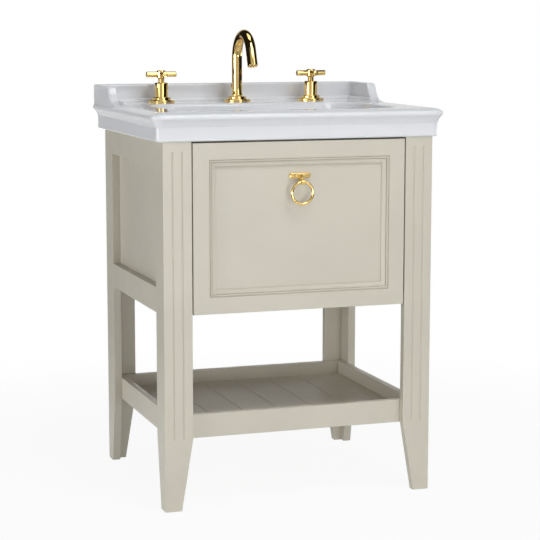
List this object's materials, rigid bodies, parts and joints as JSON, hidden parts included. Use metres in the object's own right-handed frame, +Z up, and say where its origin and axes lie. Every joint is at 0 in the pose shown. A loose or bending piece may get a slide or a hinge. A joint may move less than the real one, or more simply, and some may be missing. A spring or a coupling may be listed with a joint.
{
  "type": "vanity unit with basin",
  "caption": "Free-standing vanity unit: a ceramic basin with cross-handle taps on a cream cabinet with a deep drawer, tapered legs and a tray shelf below.",
  "frame": {"origin": "on the floor, under the middle of the basin's outline", "axes": "+X to the right seen from the front, +Y towards the wall, +Z up"},
  "size_m": [0.65, 0.53, 1.0042],
  "materials": {
    "cabinet_lacquer": "cream satin lacquer",
    "drawer_wood": "clear lacquered birch",
    "ceramic": "white gloss glaze",
    "gold": "polished gold plate",
    "plain_brass": "plain machined brass",
    "chrome": "polished chrome plate",
    "steel": "zinc plated",
    "rubber": "black rubber"
  },
  "bodies": {
    "cabinet": {"back_rail_bottom": "cabinet_lacquer", "back_rail_top": "cabinet_lacquer", "basin": "ceramic", "cold_pillar": "gold", "cold_valve": "plain_brass", "front_stretcher_bottom": "cabinet_lacquer", "front_stretcher_top": "cabinet_lacquer", "hot_pillar": "gold", "hot_valve": "plain_brass", "leg_back_left": "cabinet_lacquer", "leg_back_right": "cabinet_lacquer", "leg_front_left": "cabinet_lacquer", "leg_front_right": "cabinet_lacquer", "outlet_pipe": "chrome", "pivot_nut": "chrome", "rubber_seals": "rubber", "runner_channel_left": "steel", "runner_channel_right": "steel", "runner_packers": "cabinet_lacquer", "shelf_battens": "cabinet_lacquer", "shelf_planks": "cabinet_lacquer", "shelf_rail_back": "cabinet_lacquer", "shelf_rail_front": "cabinet_lacquer", "shelf_rail_left": "cabinet_lacquer", "shelf_rail_right": "cabinet_lacquer", "side_panel_left": "cabinet_lacquer", "side_panel_right": "cabinet_lacquer", "side_rails_left": "cabinet_lacquer", "side_rails_right": "cabinet_lacquer", "spout_rosette": "gold", "spout_shank": "plain_brass", "tap_locknuts": "plain_brass", "trap_body": "chrome", "trap_cup": "chrome", "trap_nuts": "chrome", "waste_backnut": "chrome", "waste_flange": "gold", "waste_tail": "chrome"},
    "drawer": {"drawer_front": "cabinet_lacquer", "drawer_box_front": "drawer_wood", "drawer_side_left": "drawer_wood", "drawer_side_right": "drawer_wood", "drawer_backs": "drawer_wood", "drawer_floor": "drawer_wood", "drawer_liner": "drawer_wood", "runner_slide_left": "steel", "runner_slide_right": "steel", "pull_plate": "gold", "drawer_screws": "steel"},
    "runner_middles": {"runner_middle_left": "steel", "runner_middle_right": "steel"},
    "ring": {"pull_ring": "gold"},
    "hot_handle": {"hot_handle": "gold"},
    "cold_handle": {"cold_handle": "gold"},
    "spout": {"spout": "gold", "spout_aerator": "gold"},
    "lift": {"lift_rod": "gold", "lift_strap": "plain_brass"},
    "pivot": {"pivot_rod": "plain_brass"},
    "plug": {"plug": "gold"}
  },
  "joints": [
    {"name": "drawer_slide", "type": "slide", "parent": "cabinet", "child": "drawer", "axis": [0, -1, 0], "range_m": [0, 0.38]},
    {"name": "runner_slide", "type": "slide", "parent": "cabinet", "child": "runner_middles", "axis": [0, -1, 0], "range_m": [0, 0.192]},
    {"name": "ring_swing", "type": "hinge", "parent": "drawer", "child": "ring", "pos_m": [0, -0.2591, 0.689], "axis": [-1, 0, 0], "range_deg": [-12, 90]},
    {"name": "hot_turn", "type": "hinge", "parent": "cabinet", "child": "hot_handle", "pos_m": [-0.182, 0.189, 0.90245], "axis": [0, 0, 1], "range_deg": [0, 90]},
    {"name": "cold_turn", "type": "hinge", "parent": "cabinet", "child": "cold_handle", "pos_m": [0.182, 0.189, 0.90245], "axis": [0, 0, -1], "range_deg": [0, 90]},
    {"name": "spout_swivel", "type": "hinge", "parent": "cabinet", "child": "spout", "pos_m": [0, 0.189, 0.85], "axis": [0, 0, 1], "range_deg": [-60, 60]},
    {"name": "lift_slide", "type": "slide", "parent": "cabinet", "child": "lift", "axis": [0, 0, 1], "range_m": [0, 0.045]},
    {"name": "pivot_swing", "type": "hinge", "parent": "cabinet", "child": "pivot", "pos_m": [0, 0.012, 0.6397], "axis": [1, 0, 0], "range_deg": [0, 13.1]},
    {"name": "plug_slide", "type": "slide", "parent": "cabinet", "child": "plug", "axis": [0, 0, 1], "range_m": [-0.006, 0]}
  ],
  "couplings": [
    {"joint": "runner_slide", "follows": "drawer_slide", "ratio": 0.5},
    {"joint": "pivot_swing", "follows": "lift_slide", "rad_per_m": 4.9628},
    {"joint": "plug_slide", "follows": "lift_slide", "ratio": -0.12903}
  ]
}
